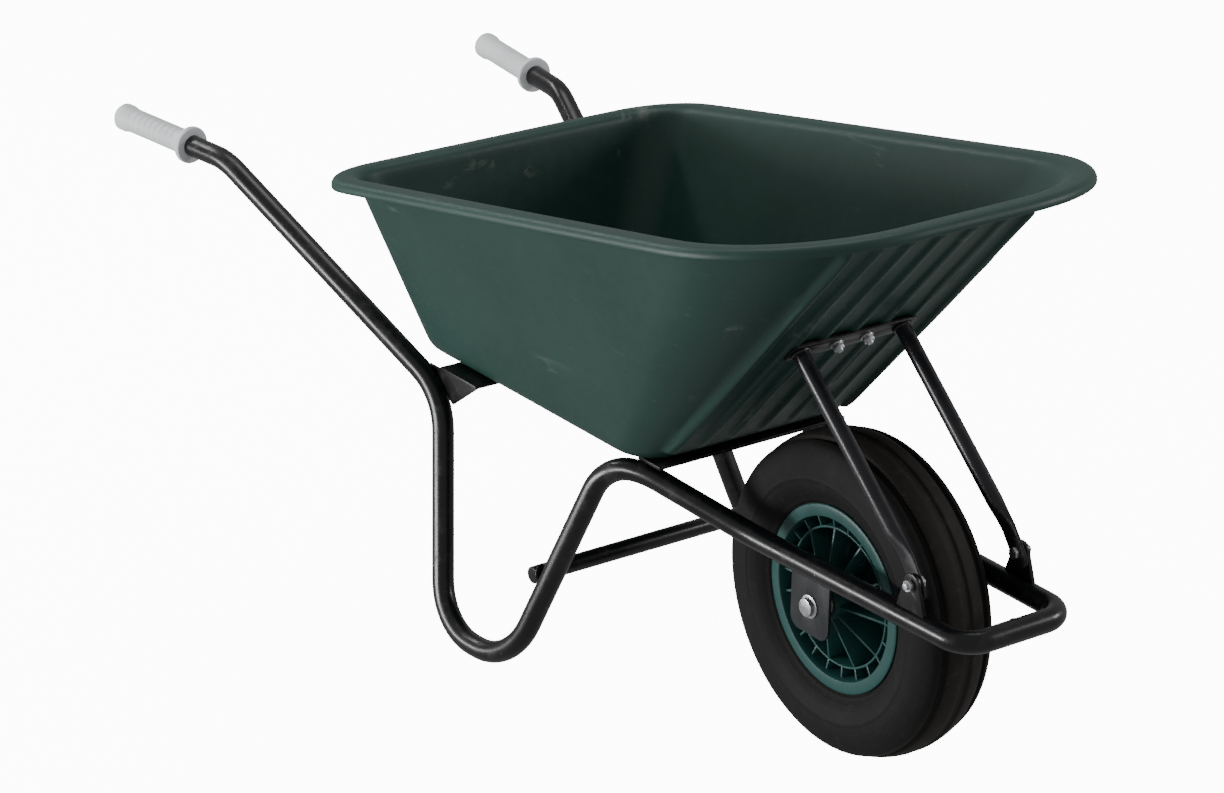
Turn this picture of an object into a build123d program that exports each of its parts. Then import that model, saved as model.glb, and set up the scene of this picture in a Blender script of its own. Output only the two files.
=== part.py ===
"""Single-wheel wheelbarrow: a moulded tray on a bent tube frame, with a pneumatic wheel.

Forward is +X, the user's left is +Y and up is +Z. The origin is on the ground, midway along the length.
Lengths called "forward" are measured ahead of the axle, and heights from the ground.
"""
import os
from math import cos, hypot, radians, sin, sqrt

from build123d import *

os.makedirs("parts", exist_ok=True)

# Wheel
wheel_radius = 200.0
tyre_width = 108.0
tyre_wall = 7.0
tread_thickness = 12.0
belly_offset = 4.0
shoulder_share = 0.25
shoulder_width_share = 0.82
bead_slack = 0.1
bead_width = 12.0
bead_seat_radius = 105.0
flange_radius = 116.5
flange_thickness = 4.0
flange_relief = 1.0
rim_width = 80.0
barrel_thickness = 4.0
rim_web_thickness = 5.0
rib_thickness = 3.0
moulding_gap = 0.1
cell_ring_radius = 86.0
outer_rib_count = 22
inner_rib_count = 11
outer_rib_width = 62.0
inner_rib_width = 74.0
hub_radius = 24.0
hub_length = 104.0
tube_rubber_thickness = 2.5
tube_slack = 0.4

# Axle
axle_radius = 10.0
running_clearance = 0.05
bush_wall = 4.0
bush_length = 32.0
bush_flange = 2.0
hub_end_play = 0.3
washer_thickness = 2.5
washer_radius = 17.0
spacer_wall = 4.0
plate_thickness = 4.0
plate_inner_half_gap = 70.0
plate_width = 70.0
plate_drop = 36.0
plate_corner = 16.0
cap_wall = 1.5
cap_depth = 6.0
cap_brim = 3.0
cap_taper = 4.0
axle_chamfer = 1.0

# Frame tube
tube_radius = 14.0
tube_wall = 2.0
weld_gap = 0.05
front_reach = 275.0
front_half_width = 76.0
fork_height = 260.0
fork_rear_forward = -87.0
fork_rear_half_width = 84.0
fork_rear_height = 256.0
leg_bend_forward = -604.0
leg_bend_half_width = 185.0
leg_bend_drop = 32.0
foot_rear_forward = -509.0
foot_rear_half_width = 248.0
foot_front_forward = -374.0
foot_front_half_width = 239.0
loop_rear_forward = -289.0
loop_rear_half_width = 160.0
loop_front_forward = -232.0
loop_front_half_width = 140.0
handle_bend_forward = -991.0
handle_bend_half_width = 266.0
handle_bend_height = 499.0
rear_reach = 1212.0
grip_end_half_width = 293.0
grip_end_height = 502.0
bend_radii = [80.0, 110.0, 85.0, 85.0, 60.0, 110.0, 150.0, 34.0]
sleeve_half_length = 30.0
sleeve_wall = 2.0
sleeve_clearance = 0.05

# Leg stay
stay_radius = 11.0
stay_wall = 1.5
stay_height = 134.0
stay_overhang = 8.0

# Grips
grip_length = 152.0
grip_radius = 16.5
grip_flange_radius = 25.0
grip_flange_length = 9.0
grip_end_radius = 18.5
grip_end_length = 16.0
grip_edge = 3.0
grip_end_taper = 6.0
grip_flange_taper = 4.0
grip_end_wall = 5.0
grip_clearance = 0.1

# Tray
tray_base_height = 318.0
tray_wall = 4.0
base_front_forward = -215.0
base_rear_forward = -688.0
base_half_width = 165.0
base_front_corner = 55.0
base_rear_corner = 45.0
rim_front_forward = 171.0
rim_front_height = 725.0
rim_rear_forward = -768.0
rim_rear_height = 548.0
rim_front_half_width = 290.0
rim_rear_half_width = 290.0
rim_front_corner = 200.0
rim_rear_corner = 96.0
rim_overhang = 30.0
rim_skirt = 14.0
nose_rib_count = 7
nose_rib_pitch = 45.0
nose_rib_width = 16.0
nose_rib_height = 5.0
nose_rib_root = 9.0
nose_rib_foot = 22.0
nose_rib_head = 40.0

# Bearers between the tray and the frame
bearer_thickness = 4.0
rear_bearer_rear_forward = -614.0
rear_bearer_front_forward = -535.0
front_bearer_rear_forward = -250.0
front_bearer_front_forward = -207.0
front_bearer_half_length = 142.0
gusset_inset = 2.0
gusset_thickness = 4.0
gusset_depth = 38.0
gusset_foot_forward = -586.0
gusset_tail_forward = -640.0

# Nose strip and braces
strip_height = 515.0
strip_length = 186.0
strip_width = 30.0
strip_thickness = 4.0
strip_corner = 6.0
brace_radius = 10.0
brace_wall = 1.5
brace_half_width = 76.0
brace_length = 270.0
brace_flat_thickness = 6.0
brace_flat_width = 26.0
brace_flat_length = 52.0
brace_neck = 24.0
brace_neck_fall = 8.0
section_flat = 0.2
brace_bolt_distance = 32.0
brace_flat_run = (0.6, -0.8)
lug_thickness = 5.0
lug_foot_half_length = 28.0

# Fasteners
bolt_radius = 4.0
bolt_hole_clearance = 0.1
bolt_head_radius = 10.0
bolt_head_height = 4.0
bolt_head_taper = 30.0
nut_radius = 7.5
nut_height = 6.5
hex_head_height = 5.5
washer_m8_radius = 8.5
washer_m8_thickness = 1.6
bolt_tail = 3.0
tray_rear_bolt_forward = -568.0
tray_rear_bolt_half_spacing = 110.0
tray_front_bolt_forward = -232.0
tray_front_bolt_half_spacing = 70.0
nose_bolt_half_spacing = 22.5

# Valve
valve_radius = 4.0
valve_hole_radius = 4.2
valve_length = 34.0
valve_side = 22.0
valve_foot_radius = 9.0
valve_foot_thickness = 1.5
valve_cap_radius = 5.5
valve_cap_length = 12.0
valve_thread_length = 8.0
valve_angle = 302.7


def export(piece, name):
    """Label a finished piece and write its STEP file."""
    piece.part.label = name
    export_step(piece.part, f"parts/{name}.step")


# Where the frame stands along the length: the overall box is centred on the origin
grip_run = Vector(
    rear_reach + handle_bend_forward,
    handle_bend_half_width - grip_end_half_width,
    handle_bend_height - grip_end_height,
).normalized()
grip_tilt_reach = (grip_end_radius - grip_edge) * sqrt(1 - grip_run.X**2) + grip_edge * (1 - grip_run.X)
axle_x = (rear_reach + grip_tilt_reach - front_reach - tube_radius) / 2
axle_centre = Vector(axle_x, 0, wheel_radius)
axle_line = Axis(axle_centre, (0, 1, 0))


def at(forward, side, height):
    """Point given ahead of the axle, to the left of the middle and above the ground."""
    return Vector(axle_x + forward, side, height)


loop_height = tray_base_height - bearer_thickness - tube_radius
frame_route = [
    (-rear_reach, grip_end_half_width, grip_end_height),
    (handle_bend_forward, handle_bend_half_width, handle_bend_height),
    (leg_bend_forward, leg_bend_half_width, tray_base_height - leg_bend_drop),
    (foot_rear_forward, foot_rear_half_width, tube_radius),
    (foot_front_forward, foot_front_half_width, tube_radius),
    (loop_rear_forward, loop_rear_half_width, loop_height),
    (loop_front_forward, loop_front_half_width, loop_height),
    (fork_rear_forward, fork_rear_half_width, fork_rear_height),
    (front_reach, front_half_width, fork_height),
    (front_reach, 0, fork_height),
]

# Nose of the tray: its slope, its outward normal and the plane of its outer face
rim_slope = (rim_front_height - rim_rear_height) / (rim_front_forward - rim_rear_forward)
rim_cos = 1 / hypot(1, rim_slope)
rim_drop = rim_overhang * rim_slope * rim_cos
rim_plane = Plane(
    origin=at(rim_front_forward, 0, rim_front_height), x_dir=(1, 0, rim_slope), z_dir=(-rim_slope, 0, 1)
)
rim_length = (rim_front_forward - rim_rear_forward) / rim_cos
base_plane = Plane(origin=at(base_front_forward, 0, tray_base_height))
base_length = base_front_forward - base_rear_forward
nose_top = at(rim_front_forward - rim_overhang * rim_cos, 0, rim_front_height - rim_drop)
nose_foot = at(base_front_forward, 0, tray_base_height)
nose_run = nose_top - nose_foot
nose_length = nose_run.length
nose_plane = Plane(origin=nose_foot, x_dir=(0, 1, 0), z_dir=Vector(nose_run.Z, 0, -nose_run.X))
strip_rise = (strip_height - tray_base_height) * nose_length / nose_run.Z


def rounded_outline(front, rear, front_half, rear_half, front_corner, rear_corner):
    """Closed outline from its front edge to its rear edge, with rounded corners."""
    with BuildLine() as outline:
        FilletPolyline(
            (front, -front_half), (front, front_half), (rear, rear_half), (rear, -rear_half),
            radius=[front_corner, front_corner, rear_corner, rear_corner], close=True,
        )
    make_face(outline.edges())


def base_outline(front_inset, inset):
    """Outline of the tray's base, drawn in by an inset at its front edge and one at the others."""
    rounded_outline(
        -front_inset, inset - base_length, base_half_width - inset, base_half_width - inset,
        base_front_corner - inset, base_rear_corner - inset,
    )


def rim_outline(front_inset, inset):
    """Outline in the sloping plane of the rim, drawn in from the rim's outer edge."""
    rounded_outline(
        -front_inset, inset - rim_length, rim_front_half_width - inset, rim_rear_half_width - inset,
        rim_front_corner - inset, rim_rear_corner - inset,
    )


# The inner face of the nose is parallel to its outer face
nose_rise = nose_run.Z / nose_length
nose_reach = nose_run.X / nose_length
nose_base_inset = tray_wall * (1 - nose_reach) / nose_rise
nose_rim_inset = rim_overhang + tray_wall / (nose_rise * rim_cos - nose_reach * rim_slope * rim_cos)


# Bolts that hold the tray: each seat is on the tray's inner face, with Z out of the shank's end
floor_height = tray_base_height + tray_wall
rear_seats = [
    Plane(origin=at(tray_rear_bolt_forward, side * tray_rear_bolt_half_spacing, floor_height))
    for side in (-1, 1)
]
front_seats = [
    Plane(origin=at(tray_front_bolt_forward, side * tray_front_bolt_half_spacing, floor_height))
    for side in (-1, 1)
]
nose_seats = [
    Plane(
        origin=nose_plane.from_local_coords((side * nose_bolt_half_spacing, strip_rise, -tray_wall)),
        x_dir=(0, 1, 0),
        z_dir=-nose_plane.z_dir,
    )
    for side in (-1, 1)
]
base_stack = tray_wall + bearer_thickness
nose_stack = tray_wall + nose_rib_height + strip_thickness
tray_seats = [(seat, base_stack) for seat in rear_seats + front_seats]
tray_seats += [(seat, nose_stack) for seat in nose_seats]
bolt_hole_radius = bolt_radius + bolt_hole_clearance


def drill_tray_bolts():
    """Cut the clearance holes of all the tray bolts."""
    for seat, stack in tray_seats:
        with BuildSketch(seat.offset(bolt_head_height)) as hole:
            Circle(bolt_hole_radius)
        extrude(hole.sketch, amount=-(stack + 2 * bolt_head_height), mode=Mode.SUBTRACT)


# Tray
with BuildPart() as tray:
    with BuildSketch(base_plane):
        base_outline(0, 0)
    with BuildSketch(rim_plane):
        rim_outline(rim_overhang, rim_overhang)
    loft(ruled=True)
    rib_length = nose_length - nose_rib_foot - nose_rib_head
    with BuildSketch(nose_plane.offset(-nose_rib_root)):
        with Locations((0, nose_rib_foot + rib_length / 2)):
            with GridLocations(nose_rib_pitch, 0, nose_rib_count, 1):
                SlotOverall(rib_length, nose_rib_width, rotation=90)
    extrude(amount=nose_rib_height + nose_rib_root)
    with BuildSketch(base_plane.offset(tray_wall)):
        base_outline(nose_base_inset, tray_wall)
    with BuildSketch(rim_plane):
        rim_outline(nose_rim_inset, rim_overhang + tray_wall)
    loft(ruled=True, mode=Mode.SUBTRACT)
    with BuildSketch(rim_plane):
        rim_outline(0, 0)
        with BuildSketch(mode=Mode.PRIVATE) as mouth:
            rim_outline(nose_rim_inset, rim_overhang + tray_wall)
        add(mouth.sketch_local, mode=Mode.SUBTRACT)
    extrude(amount=-tray_wall)
    with BuildSketch(rim_plane):
        rim_outline(0, 0)
        with BuildSketch(mode=Mode.PRIVATE) as skirt_inside:
            rim_outline(tray_wall, tray_wall)
        add(skirt_inside.sketch_local, mode=Mode.SUBTRACT)
    extrude(amount=-rim_skirt)
    drill_tray_bolts()
export(tray, "tray")

# Frame tubes, and the same routes a little thicker, to cut the seats of what is welded to them
tube_envelopes = {}
for hand, side in (("right", -1), ("left", 1)):
    with BuildPart() as frame_tube:
        with BuildLine() as centre_line:
            FilletPolyline(*[at(f, side * s, h) for f, s, h in frame_route], radius=bend_radii)
        with BuildSketch(Plane(centre_line.line ^ 0)):
            Circle(tube_radius)
            Circle(tube_radius - tube_wall, mode=Mode.SUBTRACT)
        sweep(path=centre_line.line)
        # the tube stops at the end wall of its grip
        with BuildSketch(Plane(centre_line.line ^ 0)):
            Circle(tube_radius + tube_wall)
        extrude(amount=grip_end_wall + grip_clearance, both=True, mode=Mode.SUBTRACT)
    export(frame_tube, f"frame_tube_{hand}")
    with BuildPart() as envelope:
        with BuildLine() as envelope_line:
            FilletPolyline(*[at(f, side * s, h) for f, s, h in frame_route], radius=bend_radii)
        with BuildSketch(Plane(envelope_line.line ^ 0)):
            Circle(tube_radius + weld_gap)
        sweep(path=envelope_line.line)
    tube_envelopes[hand] = envelope.part

# Sleeve inside the butt joint in the middle of the front bar
with BuildPart() as frame_joint_sleeve:
    with BuildSketch(Plane(origin=at(front_reach, 0, fork_height), z_dir=(0, 1, 0))):
        Circle(tube_radius - tube_wall - sleeve_clearance)
        Circle(tube_radius - tube_wall - sleeve_clearance - sleeve_wall, mode=Mode.SUBTRACT)
    extrude(amount=sleeve_half_length, both=True)
export(frame_joint_sleeve, "frame_joint_sleeve")

# Stay across the legs, behind the two tubes that rise from the feet
rise_foot = Vector(foot_front_forward, foot_front_half_width, tube_radius)
rise_head = Vector(loop_rear_forward, loop_rear_half_width, loop_height)
rise = rise_head - rise_foot
rise_share = (stay_height - tube_radius) / rise.Z
rise_slant = hypot(rise.X, rise.Z) / rise.Z
stay_forward = rise_foot.X + rise.X * rise_share - (tube_radius + stay_radius + weld_gap) * rise_slant
stay_half_length = rise_foot.Y + rise.Y * rise_share + stay_overhang
with BuildPart() as leg_stay:
    with BuildSketch(Plane(origin=at(stay_forward, 0, stay_height), z_dir=(0, 1, 0))):
        Circle(stay_radius)
        Circle(stay_radius - stay_wall, mode=Mode.SUBTRACT)
    extrude(amount=stay_half_length, both=True)
export(leg_stay, "leg_stay")

# Grips
for hand, side in (("right", -1), ("left", 1)):
    grip_tip = at(-rear_reach, side * grip_end_half_width, grip_end_height)
    grip_axis = Vector(grip_run.X, side * grip_run.Y, grip_run.Z)
    grip_plane = Plane(origin=grip_tip, x_dir=grip_axis, z_dir=Vector(0, 0, 1) - grip_axis * grip_axis.Z)
    with BuildPart() as grip:
        with BuildSketch(grip_plane):
            with BuildLine():
                Polyline(
                    (0, 0), (0, grip_end_radius), (grip_end_length, grip_end_radius),
                    (grip_end_length + grip_end_taper, grip_radius),
                    (grip_length - grip_flange_length - grip_flange_taper, grip_radius),
                    (grip_length - grip_flange_length, grip_flange_radius),
                    (grip_length, grip_flange_radius), (grip_length, 0), close=True,
                )
            make_face()
        revolve(axis=Axis(grip_tip, grip_axis))
        rims = grip.edges().filter_by(GeomType.CIRCLE).sort_by(Axis(grip_tip, grip_axis))
        fillet([rims[0], rims[-1]], radius=grip_edge)
        with BuildSketch(Plane(origin=grip_tip + grip_axis * grip_end_wall, z_dir=grip_axis)):
            Circle(tube_radius + grip_clearance)
        extrude(amount=grip_length, mode=Mode.SUBTRACT)
    export(grip, f"grip_{hand}")

# Bearers: the rear one is a wide strap with a gusset at each end, the front one a narrow strap
gusset_half_width = leg_bend_half_width - gusset_inset
with BuildPart() as rear_bearer:
    rear_bearer_length = rear_bearer_front_forward - rear_bearer_rear_forward
    with BuildSketch(Plane(origin=at(rear_bearer_rear_forward, 0, tray_base_height - bearer_thickness))):
        with Locations((rear_bearer_length / 2, 0)):
            Rectangle(rear_bearer_length, 2 * gusset_half_width)
    extrude(amount=bearer_thickness)
    drill_tray_bolts()
export(rear_bearer, "rear_bearer")

with BuildPart() as front_bearer:
    front_bearer_length = front_bearer_front_forward - front_bearer_rear_forward
    with BuildSketch(Plane(origin=at(front_bearer_rear_forward, 0, tray_base_height - bearer_thickness))):
        with Locations((front_bearer_length / 2, 0)):
            Rectangle(front_bearer_length, 2 * front_bearer_half_length)
    extrude(amount=bearer_thickness)
    drill_tray_bolts()
export(front_bearer, "front_bearer")

for hand, side in (("right", -1), ("left", 1)):
    gusset_top = tray_base_height - bearer_thickness
    gusset_middle = at(0, side * (gusset_half_width - gusset_thickness / 2), 0)
    with BuildPart() as gusset:
        with BuildSketch(Plane(origin=gusset_middle, x_dir=(1, 0, 0), z_dir=(0, -1, 0))):
            with BuildLine():
                Polyline(
                    (gusset_tail_forward, gusset_top), (rear_bearer_front_forward, gusset_top),
                    (gusset_foot_forward, gusset_top - gusset_depth), close=True,
                )
            make_face()
        extrude(amount=gusset_thickness / 2, both=True)
        add(tube_envelopes[hand], mode=Mode.SUBTRACT)
    export(gusset, f"gusset_{hand}")

# Axle plates hang from the frame tubes
for hand, side in (("right", -1), ("left", 1)):
    plate_top = fork_height
    plate_foot = wheel_radius - plate_drop
    with BuildPart() as axle_plate:
        plate_middle = at(0, side * (plate_inner_half_gap + plate_thickness / 2), plate_foot)
        with BuildSketch(Plane(origin=plate_middle, x_dir=(1, 0, 0), z_dir=(0, -1, 0))) as outline:
            with Locations((0, (plate_top - plate_foot) / 2)):
                Rectangle(plate_width, plate_top - plate_foot)
            fillet(outline.vertices().group_by(Axis.Y)[0], radius=plate_corner)
            with Locations((0, plate_drop)):
                Circle(axle_radius + running_clearance, mode=Mode.SUBTRACT)
        extrude(amount=plate_thickness / 2, both=True)
        add(tube_envelopes[hand], mode=Mode.SUBTRACT)
    export(axle_plate, f"axle_plate_{hand}")

# Axle, spacers, washers and end caps
plate_outer = plate_inner_half_gap + plate_thickness
axle_half_length = plate_outer + cap_depth
with BuildPart() as axle:
    with BuildSketch(Plane(origin=axle_centre, z_dir=(0, 1, 0))):
        Circle(axle_radius)
    extrude(amount=axle_half_length, both=True)
    chamfer(axle.edges().filter_by(GeomType.CIRCLE), length=axle_chamfer)
export(axle, "axle")

washer_inner = hub_length / 2 + bush_flange + hub_end_play
spacer_inner = washer_inner + washer_thickness
with BuildPart() as axle_washers:
    for side in (-1, 1):
        with BuildSketch(Plane(origin=axle_centre, z_dir=(0, side, 0)).offset(washer_inner)):
            Circle(washer_radius)
            Circle(axle_radius + running_clearance, mode=Mode.SUBTRACT)
        extrude(amount=washer_thickness)
export(axle_washers, "axle_washers")

with BuildPart() as axle_spacers:
    for side in (-1, 1):
        with BuildSketch(Plane(origin=axle_centre, z_dir=(0, side, 0)).offset(spacer_inner)):
            Circle(axle_radius + running_clearance + spacer_wall)
            Circle(axle_radius + running_clearance, mode=Mode.SUBTRACT)
        extrude(amount=plate_inner_half_gap - spacer_inner)
export(axle_spacers, "axle_spacers")

with BuildPart() as axle_caps:
    for side in (-1, 1):
        cap_seat = Plane(origin=axle_centre, z_dir=(0, side, 0)).offset(plate_outer)
        with BuildSketch(cap_seat):
            Circle(axle_radius + cap_wall + cap_brim)
        extrude(amount=cap_wall)
        with BuildSketch(cap_seat):
            Circle(axle_radius + cap_wall)
        extrude(amount=cap_depth + cap_wall + running_clearance, taper=cap_taper)
        with BuildSketch(cap_seat):
            Circle(axle_radius + running_clearance)
        extrude(amount=cap_depth + running_clearance, mode=Mode.SUBTRACT)
export(axle_caps, "axle_caps")

# Wheel: the profile's X runs along the axle and its Y outwards from it
wheel_plane = Plane(origin=axle_centre, x_dir=(0, 1, 0), z_dir=(1, 0, 0))
rim_half = rim_width / 2
bead_face = rim_half - flange_thickness
bush_outer_radius = axle_radius + running_clearance + bush_wall


def ring_section(inner_radius, outer_radius, width):
    """Rectangle in the wheel's section, centred on the wheel's middle plane."""
    with Locations((0, (inner_radius + outer_radius) / 2)):
        Rectangle(width, outer_radius - inner_radius)


flange_middle = (bead_seat_radius + flange_radius) / 2
half_rib = rib_thickness / 2
valve_run = Plane(
    origin=axle_centre + Vector(0, valve_side, 0),
    x_dir=(0, 1, 0),
    z_dir=(cos(radians(valve_angle)), 0, sin(radians(valve_angle))),
)
with BuildPart() as wheel_rim:
    with BuildSketch(wheel_plane):
        ring_section(bead_seat_radius - barrel_thickness, bead_seat_radius, rim_width)
        for side in (-1, 1):
            with Locations((side * (rim_half - flange_thickness / 2), flange_middle)):
                Rectangle(flange_thickness, flange_radius - bead_seat_radius)
    revolve(axis=axle_line)
    with BuildSketch(valve_run.offset(bead_seat_radius - 2 * barrel_thickness)):
        Circle(valve_hole_radius)
    extrude(amount=3 * barrel_thickness, mode=Mode.SUBTRACT)
export(wheel_rim, "wheel_rim")

# Hub, web, cell rings and ribs of the same moulding: each is its own solid, so that the cells stay open
web_radius = bead_seat_radius - barrel_thickness - moulding_gap
half_web = rim_web_thickness / 2
hub_face = hub_radius + moulding_gap
with BuildPart() as wheel_hub:
    with BuildSketch(wheel_plane):
        ring_section(bush_outer_radius, hub_radius, hub_length)
    revolve(axis=axle_line)
export(wheel_hub, "wheel_hub")

with BuildPart() as wheel_web:
    with BuildSketch(wheel_plane):
        ring_section(hub_face, web_radius, rim_web_thickness)
    revolve(axis=axle_line)
    with BuildSketch(valve_run.offset(bead_seat_radius - valve_length)):
        Circle(valve_cap_radius + rib_thickness)
    extrude(amount=valve_length, mode=Mode.SUBTRACT)
export(wheel_web, "wheel_web")

with BuildPart() as wheel_cell_rings:
    for side in (-1, 1):
        with BuildSketch(Plane(origin=axle_centre, z_dir=(0, side, 0)).offset(half_web + moulding_gap)):
            Circle(cell_ring_radius + half_rib)
            Circle(cell_ring_radius - half_rib, mode=Mode.SUBTRACT)
        extrude(amount=outer_rib_width / 2 - half_web - moulding_gap)
    with BuildSketch(valve_run.offset(bead_seat_radius - valve_length)):
        Circle(valve_cap_radius + rib_thickness)
    extrude(amount=valve_length, mode=Mode.SUBTRACT)
export(wheel_cell_rings, "wheel_cell_rings")


def rib_ring(inner_radius, outer_radius, width, count):
    """A ring of ribs on each side of the web."""
    turn = 360 / count
    for side in (-1, 1):
        side_face = Plane(origin=axle_centre, x_dir=(1, 0, 0), z_dir=(0, side, 0))
        with BuildSketch(side_face.offset(half_web + moulding_gap)) as ribs:
            for k in range(count):
                with PolarLocations((inner_radius + outer_radius) / 2, 1, start_angle=-side * k * turn):
                    Rectangle(outer_radius - inner_radius, rib_thickness)
        extrude(ribs.sketch, amount=width / 2 - half_web - moulding_gap)


rib_end = cell_ring_radius + half_rib + moulding_gap
with BuildPart() as wheel_outer_ribs:
    rib_ring(rib_end, web_radius - moulding_gap, outer_rib_width, outer_rib_count)
export(wheel_outer_ribs, "wheel_outer_ribs")

with BuildPart() as wheel_inner_ribs:
    rib_ring(hub_face, cell_ring_radius - half_rib - moulding_gap, inner_rib_width, inner_rib_count)
export(wheel_inner_ribs, "wheel_inner_ribs")

for hand, side in (("right", -1), ("left", 1)):
    bush_mouth = Plane(origin=axle_centre, z_dir=(0, side, 0)).offset(hub_length / 2)
    with BuildPart() as hub_bush:
        with BuildSketch(bush_mouth):
            Circle(bush_outer_radius)
        extrude(amount=-bush_length)
        with BuildSketch(bush_mouth):
            Circle(bush_outer_radius + bush_flange)
        extrude(amount=bush_flange)
        with BuildSketch(bush_mouth.offset(bush_flange)):
            Circle(axle_radius + running_clearance)
        extrude(amount=-bush_length - bush_flange, mode=Mode.SUBTRACT)
    export(hub_bush, f"hub_bush_{hand}")


def tyre_section(bead_half, belly_half, shoulder_half, bead_radius, crown_radius):
    """Section of the tyre, or of the space in it, from the bead over the crown to the other bead."""
    neck_radius = flange_radius + flange_relief
    belly_radius = (neck_radius + crown_radius) / 2 - belly_offset
    shoulder_radius = crown_radius - (crown_radius - belly_radius) * shoulder_share
    left_neck, right_neck = (-bead_half, neck_radius), (bead_half, neck_radius)
    left_shoulder, right_shoulder = (-shoulder_half, shoulder_radius), (shoulder_half, shoulder_radius)
    with BuildLine() as section:
        Line((-bead_half, bead_radius), left_neck)
        ThreePointArc(left_neck, (-belly_half, belly_radius), left_shoulder)
        ThreePointArc(left_shoulder, (0, crown_radius), right_shoulder)
        ThreePointArc(right_shoulder, (belly_half, belly_radius), right_neck)
        Line(right_neck, (bead_half, bead_radius))
        Line((bead_half, bead_radius), (-bead_half, bead_radius))
    make_face(section.edges())


tyre_half = tyre_width / 2
shoulder_half = tyre_half * shoulder_width_share
with BuildPart() as tyre:
    with BuildSketch(wheel_plane):
        tyre_section(
            bead_face - bead_slack, tyre_half, shoulder_half,
            bead_seat_radius + bead_slack, wheel_radius,
        )
        with BuildSketch(mode=Mode.PRIVATE) as tyre_inside:
            tyre_section(
                bead_face - bead_width, tyre_half - tyre_wall, shoulder_half - tyre_wall,
                bead_seat_radius - bead_slack, wheel_radius - tread_thickness,
            )
        add(tyre_inside.sketch_local, mode=Mode.SUBTRACT)
    revolve(axis=axle_line)
export(tyre, "tyre")

with BuildPart() as inner_tube:
    with BuildSketch(wheel_plane):
        tyre_section(
            bead_face - bead_width - tube_slack, tyre_half - tyre_wall - tube_slack,
            shoulder_half - tyre_wall - tube_slack, bead_seat_radius + tube_slack,
            wheel_radius - tread_thickness - tube_slack,
        )
        with BuildSketch(mode=Mode.PRIVATE) as tube_inside:
            tyre_section(
                bead_face - bead_width - tube_slack - tube_rubber_thickness,
                tyre_half - tyre_wall - tube_slack - tube_rubber_thickness,
                shoulder_half - tyre_wall - tube_slack - tube_rubber_thickness,
                bead_seat_radius + tube_slack + tube_rubber_thickness,
                wheel_radius - tread_thickness - tube_slack - tube_rubber_thickness,
            )
        add(tube_inside.sketch_local, mode=Mode.SUBTRACT)
    revolve(axis=axle_line)
export(inner_tube, "inner_tube")

with BuildPart() as valve_stem:
    with BuildSketch(valve_run.offset(bead_seat_radius - valve_length)):
        Circle(valve_radius)
    extrude(amount=valve_length)
export(valve_stem, "valve_stem")

with BuildPart() as valve_cap:
    cap_mouth = valve_run.offset(bead_seat_radius - valve_length + valve_thread_length)
    with BuildSketch(cap_mouth):
        Circle(valve_cap_radius)
    extrude(amount=-valve_cap_length)
    with BuildSketch(cap_mouth):
        Circle(valve_radius + running_clearance)
    extrude(amount=-valve_thread_length - running_clearance, mode=Mode.SUBTRACT)
export(valve_cap, "valve_cap")

# Strip across the nose, and the braces that hold it
strip_seat = nose_plane.offset(nose_rib_height)
strip_middle = nose_plane.from_local_coords((0, strip_rise, nose_rib_height + strip_thickness))
with BuildPart() as nose_strip:
    with BuildSketch(strip_seat) as strip_outline:
        with Locations((0, strip_rise)):
            Rectangle(strip_length, strip_width)
        fillet(strip_outline.vertices(), radius=strip_corner)
    extrude(amount=strip_thickness)
    drill_tray_bolts()
export(nose_strip, "nose_strip")

nose_normal = nose_plane.z_dir
flat_run = Vector(brace_flat_run[0], 0, brace_flat_run[1]).normalized()
brace_knee = strip_middle + nose_normal * brace_length
brace_bolt = brace_knee + flat_run * brace_bolt_distance
for hand, side in (("right", -1), ("left", 1)):
    across = Vector(0, side * brace_half_width, 0)
    brace_top = Plane(origin=strip_middle + across, x_dir=(0, 1, 0), z_dir=nose_normal)
    tube_end = brace_length - brace_neck
    neck_foot = brace_knee + across + flat_run * brace_neck_fall
    neck_end = Plane(origin=neck_foot, x_dir=(0, 1, 0), z_dir=flat_run)
    flat_corner = (brace_flat_thickness - section_flat) / 2
    with BuildPart() as nose_brace:
        with BuildSketch(brace_top.offset(weld_gap)):
            Circle(brace_radius)
            Circle(brace_radius - brace_wall, mode=Mode.SUBTRACT)
        extrude(amount=tube_end - weld_gap)
        with BuildSketch(brace_top.offset(tube_end)):
            RectangleRounded(2 * brace_radius, 2 * brace_radius, brace_radius - section_flat / 2)
        with BuildSketch(neck_end):
            RectangleRounded(brace_flat_thickness, brace_flat_width, flat_corner)
        loft()
        with BuildSketch(neck_end):
            RectangleRounded(brace_flat_thickness, brace_flat_width, flat_corner)
        extrude(amount=brace_flat_length - brace_neck_fall)
        with BuildSketch(Plane(origin=brace_bolt + across, z_dir=(0, 1, 0))):
            Circle(bolt_hole_radius)
        extrude(amount=brace_flat_thickness, both=True, mode=Mode.SUBTRACT)
    export(nose_brace, f"nose_brace_{hand}")

lug_inner = brace_half_width + brace_flat_thickness / 2
for hand, side in (("right", -1), ("left", 1)):
    lug_middle = side * (lug_inner + lug_thickness / 2)
    lug_face = Plane(origin=(brace_bolt.X, lug_middle, 0), x_dir=(1, 0, 0), z_dir=(0, -1, 0))
    with BuildPart() as brace_lug:
        with BuildSketch(lug_face):
            with BuildLine():
                Polyline(
                    (-lug_foot_half_length, fork_height), (lug_foot_half_length, fork_height),
                    (brace_flat_width / 2, brace_bolt.Z), (-brace_flat_width / 2, brace_bolt.Z), close=True,
                )
            make_face()
            with Locations((0, brace_bolt.Z)):
                Circle(brace_flat_width / 2)
                Circle(bolt_hole_radius, mode=Mode.SUBTRACT)
        extrude(amount=lug_thickness / 2, both=True)
        add(tube_envelopes[hand], mode=Mode.SUBTRACT)
    export(brace_lug, f"brace_lug_{hand}")

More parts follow.
